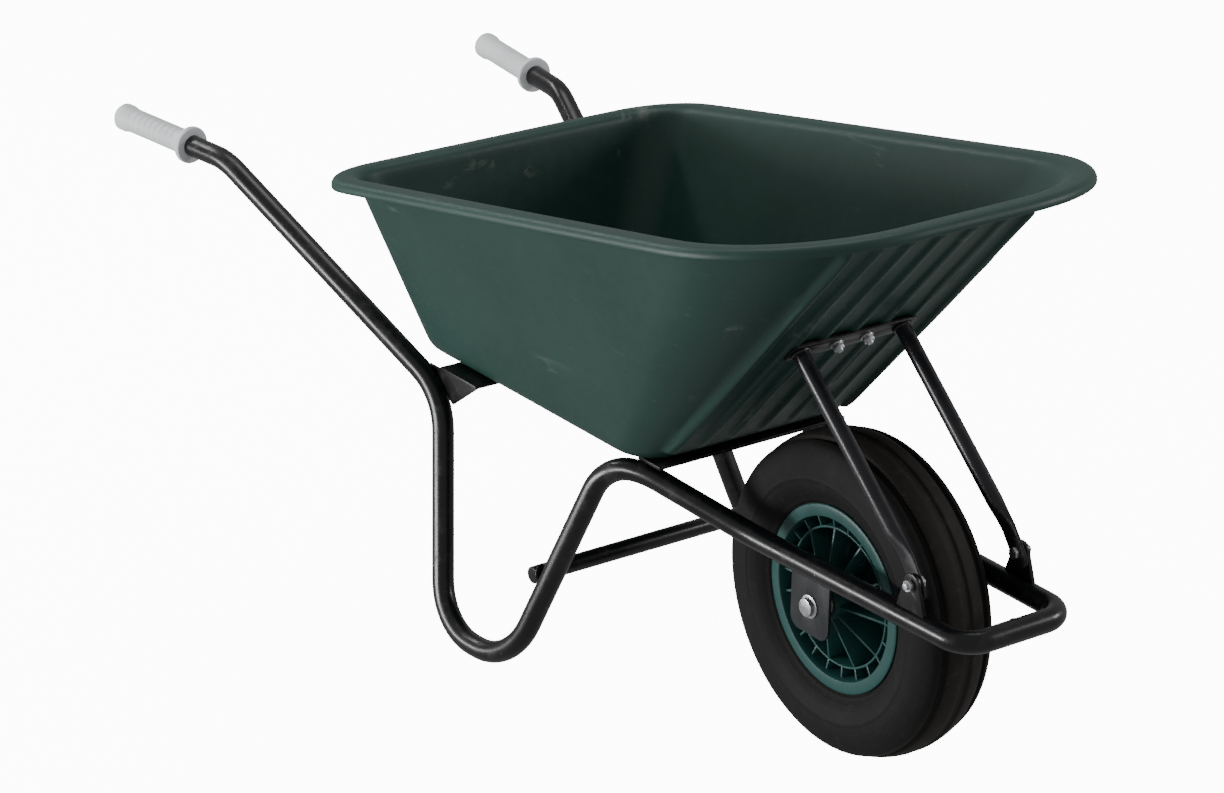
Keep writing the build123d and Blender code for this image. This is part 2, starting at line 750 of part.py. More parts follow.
# Brace bolts and nuts: heads on the inside, nuts outside the lugs
brace_stack = brace_flat_thickness + lug_thickness
head_half_width = brace_half_width - brace_flat_thickness / 2
with BuildPart() as brace_bolts:
    for side in (-1, 1):
        head_seat = Plane(origin=brace_bolt + Vector(0, side * head_half_width, 0), z_dir=(0, side, 0))
        with BuildSketch(head_seat):
            RegularPolygon(nut_radius, 6)
        extrude(amount=-hex_head_height)
        with BuildSketch(head_seat):
            Circle(bolt_radius)
        extrude(amount=brace_stack + nut_height + bolt_tail)
export(brace_bolts, "brace_bolts")

nut_half_width = lug_inner + lug_thickness
with BuildPart() as brace_nuts:
    for side in (-1, 1):
        nut_seat = Plane(origin=brace_bolt + Vector(0, side * nut_half_width, 0), z_dir=(0, side, 0))
        with BuildSketch(nut_seat):
            RegularPolygon(nut_radius, 6)
            Circle(bolt_hole_radius, mode=Mode.SUBTRACT)
        extrude(amount=nut_height)
export(brace_nuts, "brace_nuts")

# Tray bolts, washers and nuts
with BuildPart() as tray_bolts:
    for seat, stack in tray_seats:
        with BuildSketch(seat):
            Circle(bolt_head_radius)
        extrude(amount=bolt_head_height, taper=bolt_head_taper)
        with BuildSketch(seat):
            Circle(bolt_radius)
        extrude(amount=-(stack + washer_m8_thickness + nut_height + bolt_tail))
export(tray_bolts, "tray_bolts")

with BuildPart() as tray_washers:
    for seat, stack in tray_seats:
        with BuildSketch(seat.offset(-stack)):
            Circle(washer_m8_radius)
            Circle(bolt_hole_radius, mode=Mode.SUBTRACT)
        extrude(amount=-washer_m8_thickness)
export(tray_washers, "tray_washers")

with BuildPart() as tray_nuts:
    for seat, stack in tray_seats:
        with BuildSketch(seat.offset(-stack - washer_m8_thickness)):
            RegularPolygon(nut_radius, 6)
            Circle(bolt_hole_radius, mode=Mode.SUBTRACT)
        extrude(amount=-nut_height)
export(tray_nuts, "tray_nuts")
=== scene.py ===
"""Wheelbarrow with a moulded tray: the finished looks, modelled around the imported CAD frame.

Forward is +X, the user's left is +Y and up is +Z, in metres, with the ground at Z 0.
"""
import math
from contextlib import contextmanager
from itertools import chain

import bmesh
import bpy
from bpy.props import FloatProperty, FloatVectorProperty, IntProperty, PointerProperty
from mathutils import Matrix, Vector


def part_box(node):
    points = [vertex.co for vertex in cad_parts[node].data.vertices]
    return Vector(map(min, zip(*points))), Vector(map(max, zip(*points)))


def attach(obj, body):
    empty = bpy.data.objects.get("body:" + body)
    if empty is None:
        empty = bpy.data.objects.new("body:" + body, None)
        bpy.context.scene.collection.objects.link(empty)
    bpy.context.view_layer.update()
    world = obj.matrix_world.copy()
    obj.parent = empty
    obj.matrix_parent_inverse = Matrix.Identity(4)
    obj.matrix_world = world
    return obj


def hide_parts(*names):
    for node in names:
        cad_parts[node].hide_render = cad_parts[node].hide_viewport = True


bl_info = {
    "name": "Wheelbarrow",
    "version": (1, 0, 0),
    "blender": (4, 5, 0),
    "location": "3D View > Sidebar > Barrow",
    "description": "Models a single-wheel wheelbarrow piece by piece",
    "category": "Mesh",
}

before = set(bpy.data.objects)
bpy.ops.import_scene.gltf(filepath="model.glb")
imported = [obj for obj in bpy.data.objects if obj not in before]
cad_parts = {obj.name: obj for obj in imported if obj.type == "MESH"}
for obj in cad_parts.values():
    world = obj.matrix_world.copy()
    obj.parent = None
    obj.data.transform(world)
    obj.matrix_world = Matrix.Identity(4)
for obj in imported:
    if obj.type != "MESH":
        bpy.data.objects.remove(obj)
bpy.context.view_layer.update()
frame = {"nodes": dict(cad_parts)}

MM = 0.001
axle_low, axle_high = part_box("axle")
AXLE = (axle_low + axle_high) / 2
ACROSS = Vector((0, 1, 0))
SIDES = (("right", -1), ("left", 1))


def at(forward, side, height):
    """Point in millimetres ahead of the axle, left of the middle and above the ground."""
    return Vector((AXLE.x + forward * MM, side * MM, height * MM))


# Selecting and editing


def release():
    """Leave edit mode and select nothing."""
    if bpy.context.object and bpy.context.object.mode != "OBJECT":
        bpy.ops.object.mode_set(mode="OBJECT")
    bpy.ops.object.select_all(action="DESELECT")


def choose(*pieces):
    """Select these pieces only, the first one active."""
    release()
    for piece in pieces:
        piece.select_set(True)
    bpy.context.view_layer.objects.active = pieces[0]


@contextmanager
def editing(piece):
    """Edit mode on one piece, with nothing selected at first."""
    choose(piece)
    bpy.ops.object.mode_set(mode="EDIT")
    bpy.ops.mesh.select_mode(type="VERT")
    bpy.ops.mesh.select_all(action="DESELECT")
    yield
    bpy.ops.object.mode_set(mode="OBJECT")
    release()


def pick(piece, kind, wanted):
    """In edit mode, select the points, edges or faces that are wanted, and no others."""
    bpy.ops.mesh.select_mode(type=kind)
    bpy.ops.mesh.select_all(action="DESELECT")
    mesh = bmesh.from_edit_mesh(piece.data)
    parts = {"VERT": mesh.verts, "EDGE": mesh.edges, "FACE": mesh.faces}[kind]
    found = [part for part in parts if wanted(part)]
    if not found:
        raise RuntimeError(f"nothing to select on {piece.name}")
    for part in found:
        part.select_set(True)
    mesh.select_flush_mode()
    bmesh.update_edit_mesh(piece.data)


def middle(part):
    """Middle of an edge or a face."""
    return sum((v.co for v in part.verts), Vector()) / len(part.verts)


def place(piece):
    """Put the piece's place, turn and scale into its mesh."""
    choose(piece)
    bpy.ops.object.transform_apply(location=True, rotation=True, scale=True)
    release()


def newest(name):
    """The object that was just added, with its name."""
    piece = bpy.context.object
    piece.name = name
    piece.data.name = name
    return piece


def modify(piece, kind, **settings):
    """Add a modifier, set it and apply it."""
    choose(piece)
    modifier = piece.modifiers.new(kind.title(), kind)
    for key, value in settings.items():
        setattr(modifier, key, value)
    bpy.ops.object.modifier_apply(modifier=modifier.name)
    release()


def soften(piece, width, segments=2, angle=35):
    """Round the edges that turn by more than an angle in degrees."""
    modify(
        piece, "BEVEL", width=width, segments=segments, limit_method="ANGLE",
        angle_limit=math.radians(angle), use_clamp_overlap=True, harden_normals=False,
    )


def smooth(piece, angle=40):
    """Shade smooth, with edges sharper than an angle in degrees left crisp."""
    choose(piece)
    bpy.ops.object.shade_smooth_by_angle(angle=math.radians(angle))
    release()


def outward():
    """In edit mode, merge doubles and turn every face outwards."""
    bpy.ops.mesh.select_all(action="SELECT")
    bpy.ops.mesh.remove_doubles(threshold=0.01 * MM)
    bpy.ops.mesh.normals_make_consistent(inside=False)


def merge(name, pieces):
    """Join pieces into one mesh."""
    if len(pieces) > 1:
        choose(*pieces)
        bpy.ops.object.join()
    pieces[0].name = name
    pieces[0].data.name = name
    release()
    return pieces[0]


def finish_piece(piece, body, slot, finish, *nodes):
    """Give a piece its body, finish and the CAD nodes that it stands for. The slot argument is not used."""
    piece.data.materials.clear()
    piece.data.materials.append(materials[finish].material)
    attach(piece, body)
    if nodes:
        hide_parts(*nodes)


# Ways to shape a piece


def turned(name, profile, origin, axis, steps, closed=False):
    """A profile of (along, radius) points in millimetres, spun round an axis."""
    axis = Vector(axis).normalized()
    outwards = axis.orthogonal().normalized()
    points = [Vector(origin) + (axis * along + outwards * radius) * MM for along, radius in profile]
    release()
    bpy.ops.mesh.primitive_plane_add(size=MM, location=points[0])
    piece = newest(name)
    place(piece)
    with editing(piece):
        bpy.ops.mesh.select_all(action="SELECT")
        bpy.ops.mesh.merge(type="CENTER")
        for start, end in zip(points, points[1:] + points[:1] * closed):
            bpy.ops.mesh.extrude_region_move(TRANSFORM_OT_translate={"value": end - start})
        bpy.ops.mesh.select_all(action="SELECT")
        bpy.ops.mesh.remove_doubles(threshold=0.01 * MM)
        bpy.ops.mesh.select_all(action="SELECT")
        bpy.ops.mesh.spin(steps=steps, angle=2 * math.pi, center=Vector(origin), axis=axis)
        outward()
    return piece


def bends(route, radii):
    """Straight runs and arcs along a route: each is its end, and for an arc its centre, axis and angle."""
    parts = []
    for before, corner, after, radius in zip(route, route[1:], route[2:], radii):
        run_in, run_out = (corner - before).normalized(), (after - corner).normalized()
        angle = run_in.angle(run_out)
        reach = radius * math.tan(angle / 2)
        centre = corner + (run_out - run_in).normalized() * radius / math.cos(angle / 2)
        parts.append((corner - run_in * reach, None, None, 0))
        parts.append((corner + run_out * reach, centre, run_in.cross(run_out), angle))
    parts.append((route[-1], None, None, 0))
    return parts


def bent_tube(name, route, radii, radius, sides=32):
    """A round tube drawn along straight runs and bent round arcs."""
    heading = (route[1] - route[0]).to_track_quat("Z", "Y").to_euler()
    release()
    bpy.ops.mesh.primitive_circle_add(
        vertices=sides, radius=radius, fill_type="NGON", location=route[0], rotation=heading
    )
    piece = newest(name)
    place(piece)
    here = route[0]
    with editing(piece):
        bpy.ops.mesh.select_all(action="SELECT")
        for end, centre, axis, angle in bends(route, radii):
            if angle:
                steps = max(4, round(math.degrees(angle) / 5))
                bpy.ops.mesh.spin(steps=steps, angle=-angle, center=centre, axis=axis)
            elif (end - here).length > 0.1 * MM:
                bpy.ops.mesh.extrude_region_move(TRANSFORM_OT_translate={"value": end - here})
            here = end
        outward()
    return piece


def weld_bead(name, centre, axis, ring_radius, bead_radius, squash=1.0):
    """A lumpy weld bead round a joint."""
    release()
    bpy.ops.mesh.primitive_torus_add(
        location=centre, rotation=Vector(axis).to_track_quat("Z", "Y").to_euler(),
        major_radius=ring_radius, minor_radius=bead_radius, major_segments=72, minor_segments=10,
    )
    piece = newest(name)
    piece.scale = (1, squash, 1)
    place(piece)
    lumps = bpy.data.textures.new(name, "CLOUDS")
    lumps.noise_scale = 4 * MM
    modify(piece, "DISPLACE", texture=lumps, strength=1.2 * MM, mid_level=0.5)
    smooth(piece, 80)
    return piece


def refined(node, width):
    """A copy of a CAD node with its faces joined up and its edges rounded."""
    mesh = frame["nodes"][node].data.copy()
    piece = bpy.data.objects.new(f"{node}_finished", mesh)
    bpy.context.scene.collection.objects.link(piece)
    with editing(piece):
        bpy.ops.mesh.select_all(action="SELECT")
        bpy.ops.mesh.remove_doubles(threshold=0.01 * MM)
        bpy.ops.mesh.dissolve_limited(angle_limit=math.radians(0.5))
    if width:
        soften(piece, width)
    smooth(piece, 30)
    return piece


# Shader maths


CHIP_LEVEL = 0.735  # noise above this is a chip in the paint


class Value:
    """A socket of a material's nodes, so that shader maths reads as ordinary sums."""

    def __init__(self, finish, socket):
        self.finish = finish
        self.socket = socket

    def math(self, operation, *values):
        """This value through a Math node."""
        return self.finish.node("ShaderNodeMath", {"operation": operation}, values=(self, *values))

    def __add__(self, other):
        return self.math("ADD", other)

    def __sub__(self, other):
        return self.math("SUBTRACT", other)

    def __rsub__(self, other):
        return self.finish.node("ShaderNodeMath", {"operation": "SUBTRACT"}, values=(other, self))

    def __mul__(self, other):
        return self.math("MULTIPLY", other)

    __radd__ = __add__
    __rmul__ = __mul__

    def band(self, low, high):
        """This value eased from 0 to 1 as it goes from low to high."""
        return self.finish.node(
            "ShaderNodeMapRange", {"interpolation_type": "SMOOTHSTEP"}, Value=self,
            From_Min=low, From_Max=high,
        )


class Finish:
    """One procedural material, built node by node on object coordinates."""

    def __init__(self, name, roughness=0.5, metallic=0.0, **constants):
        self.material = bpy.data.materials.new(name)
        self.material.use_nodes = True
        self.tree = self.material.node_tree
        self.shader = next(n for n in self.tree.nodes if n.type == "BSDF_PRINCIPLED")
        self.put("Roughness", roughness)
        self.put("Metallic", metallic)
        for key, value in constants.items():
            self.put(key.replace("_", " "), value)
        self.coordinates = self.node("ShaderNodeTexCoord", output="Object")

    def node(self, kind, settings=None, output=0, values=(), **inputs):
        """Any node: its settings first, then the values or links of its sockets, by order or by name."""
        made = self.tree.nodes.new(kind)
        for key, value in (settings or {}).items():
            setattr(made, key, value)
        named = [(made.inputs[key.replace("_", " ")], value) for key, value in inputs.items()]
        for socket, value in chain(zip(made.inputs, values), named):
            self.feed(socket, value)
        return Value(self, made.outputs[output])

    def feed(self, socket, value):
        """Link a value to a socket, or set the socket to a number or colour."""
        if isinstance(value, Value):
            self.tree.links.new(value.socket, socket)
        elif socket.type == "RGBA":
            socket.default_value = (*value[:3], 1)
        else:
            socket.default_value = value

    def put(self, name, value):
        """Feed one of the shader's own sockets."""
        self.feed(self.shader.inputs[name], value)

    def noise(self, scale, detail=4.0, roughness=0.55, stretch=(1, 1, 1), offset=(0, 0, 0), distortion=0.0):
        """Fractal noise at a scale in lumps per metre, stretched along the axes."""
        where = self.node(
            "ShaderNodeMapping", values=(self.coordinates, offset, (0, 0, 0), stretch)
        )
        return self.node(
            "ShaderNodeTexNoise", Vector=where, Scale=scale, Detail=detail, Roughness=roughness,
            Distortion=distortion,
        )

    def cells(self, scale):
        """A random colour for the cell round each of many scattered points."""
        return self.node("ShaderNodeTexVoronoi", output="Color", Vector=self.coordinates, Scale=scale)

    def axis(self, name):
        """One of the object coordinates, in metres."""
        return self.node("ShaderNodeSeparateXYZ", output=name, values=(self.coordinates,))

    def mix(self, mask, low, high):
        """Colour low where the mask is 0 and high where it is 1."""
        made = self.tree.nodes.new("ShaderNodeMix")
        made.data_type = "RGBA"
        self.feed(made.inputs[0], mask)
        self.feed(made.inputs[6], low)
        self.feed(made.inputs[7], high)
        return Value(self, made.outputs[2])

    def bump(self, height, distance, strength=1.0, below=None):
        """Surface relief of a height times a distance in metres."""
        inputs = {"Height": height, "Distance": distance, "Strength": strength}
        if below is not None:
            inputs["Normal"] = below
        return self.node("ShaderNodeBump", **inputs)


def shade(colour, factor):
    """A colour made lighter or darker."""
    return tuple(channel * factor for channel in colour[:3])


def moulded_plastic(name, colour, scuff_colour, roughness=0.42, scuffed=True, grain=900):
    """Moulded plastic: soft mottling, a fine moulded grain, pale scuffs and nicks."""
    f = Finish(name, roughness, IOR=1.5, Coat_Roughness=0.3, Specular_IOR_Level=0.4)
    cloud = f.noise(5, 3).band(0.3, 0.7)
    fine = f.noise(60, 5).band(0.35, 0.7)
    base = f.mix(cloud, shade(colour, 0.90), shade(colour, 1.10))
    base = f.mix(fine * 0.25, base, shade(colour, 1.25))
    rough = roughness + cloud * 0.06 + fine * 0.05
    relief = f.bump(f.noise(grain, 2), 0.15 * MM, 0.5)
    if scuffed:
        streak = f.noise(26, 8, 0.62, (0.18, 1, 1), distortion=0.6).band(0.60, 0.72)
        nick = f.noise(150, 6, 0.7, (0.3, 1, 1)).band(0.66, 0.74)
        scuff = streak.math("MULTIPLY", f.noise(7, 2).band(0.42, 0.62)) * 0.35 + nick * 0.25
        base = f.mix(scuff.math("MINIMUM", 1.0), base, shade(scuff_colour, 0.9))
        rough = rough + scuff * 0.25
        relief = f.bump(1 - nick, 0.2 * MM, 0.4, relief)
    f.put("Base Color", base)
    f.put("Roughness", rough.math("MINIMUM", 0.85))
    f.put("Normal", relief)
    return f


def paint(name, colour, metal, roughness):
    """Dipped paint over steel: orange peel, rubbed patches and a few chips down to metal."""
    f = Finish(name, roughness, Coat_Roughness=0.12, IOR=1.5, Specular_IOR_Level=0.45)
    patch = f.noise(14, 4).band(0.35, 0.65)
    dust = f.noise(45, 6, 0.65).band(0.5, 0.75)
    base = f.mix(patch, shade(colour, 0.85), shade(colour, 1.2))
    base = f.mix(dust * 0.12, base, (0.20, 0.19, 0.17))
    pits = f.noise(120, 7, 0.6, offset=(3, 1, 2))
    chips = pits.band(CHIP_LEVEL, CHIP_LEVEL + 0.012)
    rust = pits.band(CHIP_LEVEL - 0.02, CHIP_LEVEL)
    base = f.mix(rust * (1 - chips) * 0.5, base, (0.10, 0.045, 0.025))
    base = f.mix(chips, base, metal)
    f.put("Base Color", base)
    f.put("Metallic", chips * 0.9)
    f.put("Roughness", roughness + patch * 0.06 + dust * 0.14 + rust * 0.15)
    f.put("Coat Weight", (1 - dust) * 0.12)
    peel = f.bump(f.noise(260, 3), 0.18 * MM, 0.35)
    f.put("Normal", f.bump(1 - chips, 0.2 * MM, 0.6, peel))
    return f


def plated(name, colour, roughness):
    """Zinc plate: crystals that catch the light differently, and dull spots."""
    f = Finish(name, roughness, 1.0)
    spangle = f.cells(260)
    dull = f.noise(180, 5).band(0.45, 0.7)
    base = f.mix(spangle * 0.35, shade(colour, 0.85), shade(colour, 1.1))
    f.put("Base Color", f.mix(dull * 0.3, base, (0.36, 0.37, 0.36)))
    f.put("Roughness", roughness + spangle * 0.10 + dull * 0.18)
    f.put("Normal", f.bump(f.noise(500, 3), 0.08 * MM, 0.5))
    return f


def rubber(name, colour, wheel=False):
    """Black rubber: fine pores, a dusty bloom, and mould lines round the wheel."""
    f = Finish(name, 0.72, Specular_IOR_Level=0.25)
    bloom = f.noise(9, 5, 0.6).band(0.3, 0.75)
    dirt = f.noise(70, 8, 0.7).band(0.5, 0.78)
    base = f.mix(bloom * 0.7, colour, shade(colour, 1.7))
    relief = f.bump(f.noise(1300, 3), 0.12 * MM, 0.6)
    if wheel:
        x = f.axis("X") - AXLE.x
        z = f.axis("Z") - AXLE.z
        radius = (x * x + z * z).math("SQRT")
        tread = radius.band(0.187, 0.199)
        ground_dust = (tread * (0.4 + dirt * 0.6)).math("MINIMUM", 1.0)
        base = f.mix(ground_dust * 0.30, base, (0.12, 0.10, 0.085))
        rings = (radius * 900).math("SINE").band(0.55, 1.0) * (1 - radius.band(0.160, 0.172))
        relief = f.bump(rings, 0.25 * MM, 0.35, relief)
    base = f.mix(dirt * 0.12, base, (0.13, 0.115, 0.10))
    f.put("Base Color", base)
    f.put("Roughness", 0.66 + bloom * 0.14 + dirt * 0.1)
    f.put("Normal", relief)
    return f


def brass_finish(name):
    """Turned brass with tool marks and tarnish."""
    f = Finish(name, 0.3, 1.0)
    tarnish = f.noise(300, 5).band(0.4, 0.7)
    f.put("Base Color", f.mix(tarnish, (0.72, 0.53, 0.25), (0.38, 0.26, 0.12)))
    f.put("Roughness", 0.25 + tarnish * 0.25)
    f.put("Normal", f.bump(f.noise(2500, 2, stretch=(1, 1, 0.1)), 0.05 * MM, 0.4))
    return f


materials = {}


def finishes(colours):
    """Build every material from the colours."""
    worn = (0.33, 0.34, 0.31)
    steel = (0.42, 0.42, 0.43)
    materials.update(
        tray=moulded_plastic("tray_green_polythene", colours.tray, worn),
        rim=moulded_plastic("rim_green_polypropylene", colours.rim, worn, 0.38, grain=700),
        grip=moulded_plastic("grip_grey_vinyl", colours.grip, (0.30, 0.29, 0.27), 0.46, grain=1100),
        bush=moulded_plastic("bush_natural_nylon", (0.70, 0.68, 0.62), worn, 0.4, False),
        cap=moulded_plastic("cap_black_plastic", (0.02, 0.02, 0.021), worn, 0.4, False),
        frame=paint("frame_gloss_paint", colours.frame, steel, 0.28),
        # The braces' paint is the frame's blue-black painted lighter: painted light standing in for the
        # bluish highlights along the braces.
        brace=paint("brace_paint_painted_lighter", colours.brace, steel, 0.30),
        bracket=paint("bracket_black_paint", colours.bracket, steel, 0.38),
        plate=paint("plate_grey_paint", colours.plate, steel, 0.40),
        zinc=plated("bright_zinc_plate", (0.66, 0.67, 0.69), 0.28),
        steel=plated("bare_drawn_steel", (0.46, 0.46, 0.46), 0.36),
        tyre=rubber("tyre_black_rubber", colours.tyre, True),
        tube=rubber("inner_tube_rubber", (0.03, 0.03, 0.03)),
        brass=brass_finish("turned_brass"),
    )


# What a user would change


def length(label, description, default, low=0.001, high=2.0):
    """A length property, given in millimetres."""
    return FloatProperty(name=label, description=description, default=default * MM, min=low, max=high,
                         unit="LENGTH", subtype="DISTANCE", precision=4)


def amount(label, description, default, low, high):
    """A plain number property."""
    return FloatProperty(name=label, description=description, default=default, min=low, max=high)


def count(label, description, default, low, high):
    """A whole number property."""
    return IntProperty(name=label, description=description, default=default, min=low, max=high)


def colour(label, description, default):
    """A colour property."""
    return FloatVectorProperty(name=label, description=description, default=default, size=3, min=0, max=1,
                               subtype="COLOR")


class BarrowTray(bpy.types.PropertyGroup):
    """Sizes of the moulded tray."""

    wall: length("Wall", "Thickness of the tray's wall", 4)
    base_height: length("Base height", "Height of the underside of the tray", 318)
    base_half: length("Base half width", "Half the width of the flat base", 165)
    rim_half: length("Rim half width", "Half the width over the rim", 290)
    overhang: length("Rim overhang", "How far the rim reaches out past the wall", 30)
    skirt: length("Rim skirt", "How far the rim turns down", 14)
    rib_height: length("Rib height", "How far the nose ribs stand out", 5)
    rib_width: length("Rib width", "Width of each nose rib at its foot", 16)
    rib_pitch: length("Rib pitch", "Distance between nose ribs", 45)
    rib_count: count("Rib count", "Number of nose ribs", 7, 1, 11)


class BarrowFrame(bpy.types.PropertyGroup):
    """Sizes of the tube frame."""

    tube: length("Tube radius", "Radius of the frame tube", 14)
    stay: length("Stay radius", "Radius of the stay across the legs", 11)
    brace: length("Brace radius", "Radius of the nose braces", 10)
    bead: length("Weld bead", "Radius of the weld beads", 2.4)
    edge: length("Plate edge", "Rounding of the plates' edges", 0.7, 0)


class BarrowGrips(bpy.types.PropertyGroup):
    """Sizes of the handle grips."""

    length: length("Length", "Length of a grip", 152)
    body: length("Radius", "Radius of the grip's body", 16.5)
    end: length("End radius", "Radius of the bulge at the end", 18.5)
    flange: length("Flange radius", "Radius of the flange by the hand", 25)
    groove: length("Groove depth", "Depth of the grooves round the grip", 0.9)
    grooves: count("Grooves", "Number of grooves round the grip", 9, 0, 20)


class BarrowWheel(bpy.types.PropertyGroup):
    """Sizes of the wheel."""

    radius: length("Radius", "Outer radius of the tyre", 199.95)
    half_width: length("Tyre half width", "Half the width of the tyre", 54)
    rim_half: length("Rim half width", "Half the width of the rim", 40)
    cells: count("Outer cells", "Number of outer cells in the rim", 22, 6, 40)
    spokes: count("Inner ribs", "Number of inner ribs in the rim", 11, 3, 30)


class BarrowFinish(bpy.types.PropertyGroup):
    """Colours of the finishes."""

    tray: colour("Tray", "Green of the tray", (0.016, 0.052, 0.042))
    rim: colour("Wheel rim", "Green of the wheel rim", (0.020, 0.085, 0.078))
    grip: colour("Grips", "Pale grey of the grips", (0.72, 0.75, 0.76))
    frame: colour("Frame", "Blue-black of the frame", (0.0040, 0.0040, 0.0055))
    # Braces: the frame's blue-black painted lighter, as painted light for the highlights that the braces
    # catch.
    brace: colour("Braces", "Lighter blue-black of the nose braces", (0.0095, 0.0095, 0.0130))
    bracket: colour("Brackets", "Black of the brackets", (0.004, 0.004, 0.0045))
    plate: colour("Axle plates", "Grey of the axle plates", (0.014, 0.016, 0.018))
    tyre: colour("Tyre", "Black of the tyre", (0.0055, 0.005, 0.005))


class BarrowStage(bpy.types.PropertyGroup):
    """Camera and lights."""

    camera_at: FloatVectorProperty(
        name="Camera", description="Where the camera stands", size=3, unit="LENGTH", subtype="XYZ",
        default=(AXLE.x + 3.1875, -2.7305, 2.1870),
    )
    camera_turn: FloatVectorProperty(
        name="Turn", description="How the camera is turned", size=3, unit="ROTATION", subtype="EULER",
        default=(1.175918, -0.018867, 0.940802),
    )
    lens: amount("Lens", "Focal length in millimetres on a 36 mm sensor", 115.34, 10, 400)
    floor: colour("Floor", "Pale floor", (0.80, 0.80, 0.80))
    surround: amount("Surround", "Brightness of the plain surround", 0.36, 0, 5)
    glow: amount("Floor glow", "Brightness that the floor shows to the camera alone", 12, 0, 40)


# Places shared by several pieces, in millimetres ahead of the axle and above the ground
ROUTE = (
    (-1207, 292.9, 501.9), (-991, 266, 499), (-604, 185, 286), (-509, 248, 14), (-374, 239, 14),
    (-289, 160, 300), (-232, 140, 300), (-87, 84, 256), (275, 76, 260),
)
BEND_RADII = (80, 110, 85, 85, 60, 110, 150, 34)
GRIP_TIP = (-1212, 293, 502)
RIM_FRONT, RIM_REAR = (171, 725), (-768, 548)
BASE_FRONT, BASE_REAR = -215, -688
RIM_SLOPE = math.atan2(RIM_FRONT[1] - RIM_REAR[1], RIM_FRONT[0] - RIM_REAR[0])
RIM_LENGTH = math.hypot(RIM_FRONT[0] - RIM_REAR[0], RIM_FRONT[1] - RIM_REAR[1])
RIM_CORNERS, BASE_CORNERS = (200, 96), (55, 45)
BASE_HEIGHT = 318
STRIP_HEIGHT, STRIP_STAND_OFF = 515, 9
FRONT_BAR = (275, 260)
BAR_WELD_SET_IN = 0.8
STAY_WELD_RADIUS = 9.5
RIB_FOOT, RIB_HEAD, RIB_SLOPE, OUTER_RIB_LIFT = 24, 42, 3.2, 4
BRACE_HALF_SPACING, BRACE_LENGTH = 76, 270
BRACE_FLAT = Vector((0.6, 0, -0.8))
CORNER_STEPS = 9
BRACE_SIDES = 32


def nose_line(foot, overhang):
    """Up the middle of the nose from its foot: its top, the way up, and the way out."""
    back = Vector((math.cos(RIM_SLOPE), 0, math.sin(RIM_SLOPE))) * overhang
    top = at(RIM_FRONT[0], 0, RIM_FRONT[1]) - back
    run = (top - foot).normalized()
    return top, run, Vector((run.z, 0, -run.x))


class BARROW_OT_finishes(bpy.types.Operator):
    """Build the materials of every finish"""

    bl_idname = "barrow.finishes"
    bl_label = "Finishes"
    bl_options = {"REGISTER", "UNDO"}

    def execute(self, context):
        """Build the materials."""
        finishes(context.scene.barrow_finish)
        return {"FINISHED"}


